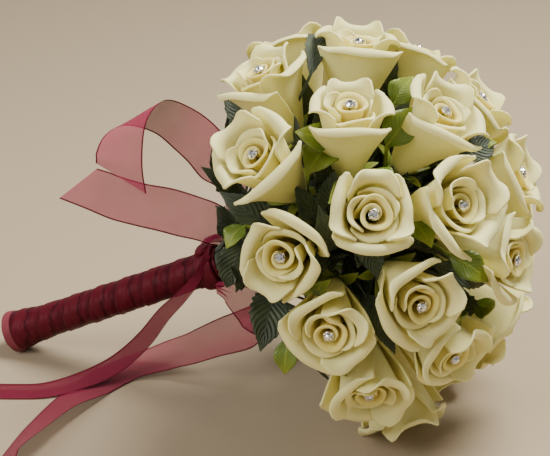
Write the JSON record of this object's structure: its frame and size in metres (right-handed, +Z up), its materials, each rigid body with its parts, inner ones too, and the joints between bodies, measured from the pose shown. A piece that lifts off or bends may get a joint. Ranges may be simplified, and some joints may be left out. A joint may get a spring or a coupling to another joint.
{
  "type": "hand-tied rose bouquet",
  "caption": "Round posy of ivory foam roses with crystal pins and dark leaves, on a ribbon-wound handle with trailing sheer ribbon tails, lying on its side.",
  "frame": {"origin": "on the table, under the middle of the whole bouquet's box as it lies", "axes": "+Z up from the table, +X from the handle's end towards the head's top, which also leans up"},
  "size_m": [0.3399, 0.275, 0.222],
  "materials": {
    "foam_petal": "matte closed-cell foam",
    "crystal": "cut and clear, in a silver cup",
    "bright_leaf": "satin",
    "dark_leaf": "satin printed cloth",
    "wound_ribbon": "satin-edged sheer ribbon in layers",
    "sheer_ribbon": "sheer organza"
  },
  "bodies": {
    "root": {"rose_01": "foam_petal", "rose_02": "foam_petal", "rose_03": "foam_petal", "rose_04": "foam_petal", "rose_05": "foam_petal", "rose_06": "foam_petal", "rose_07": "foam_petal", "rose_08": "foam_petal", "rose_09": "foam_petal", "rose_10": "foam_petal", "rose_11": "foam_petal", "rose_12": "foam_petal", "rose_13": "foam_petal", "rose_14": "foam_petal", "rose_15": "foam_petal", "rose_16": "foam_petal", "rose_17": "foam_petal", "rose_18": "foam_petal", "rose_19": "foam_petal", "rose_20": "foam_petal", "rose_21": "foam_petal", "rose_22": "foam_petal", "rose_23": "foam_petal", "rose_24": "foam_petal", "rose_25": "foam_petal", "pin_01": "crystal", "pin_02": "crystal", "pin_03": "crystal", "pin_04": "crystal", "pin_05": "crystal", "pin_06": "crystal", "pin_07": "crystal", "pin_08": "crystal", "pin_09": "crystal", "pin_10": "crystal", "pin_11": "crystal", "pin_12": "crystal", "pin_13": "crystal", "pin_14": "crystal", "pin_15": "crystal", "pin_16": "crystal", "pin_17": "crystal", "pin_18": "crystal", "pin_19": "crystal", "pin_20": "crystal", "pin_21": "crystal", "pin_22": "crystal", "pin_23": "crystal", "pin_24": "crystal", "pin_25": "crystal", "stems": "bright_leaf", "leaf_spray_1": "dark_leaf", "leaf_spray_2": "dark_leaf", "leaf_spray_3": "dark_leaf", "handle_wrap": "wound_ribbon", "ribbon_knot": "sheer_ribbon", "tail_arch": "sheer_ribbon", "tail_level": "sheer_ribbon", "tail_narrow": "sheer_ribbon", "tail_wide": "sheer_ribbon"}
  },
  "joints": []
}
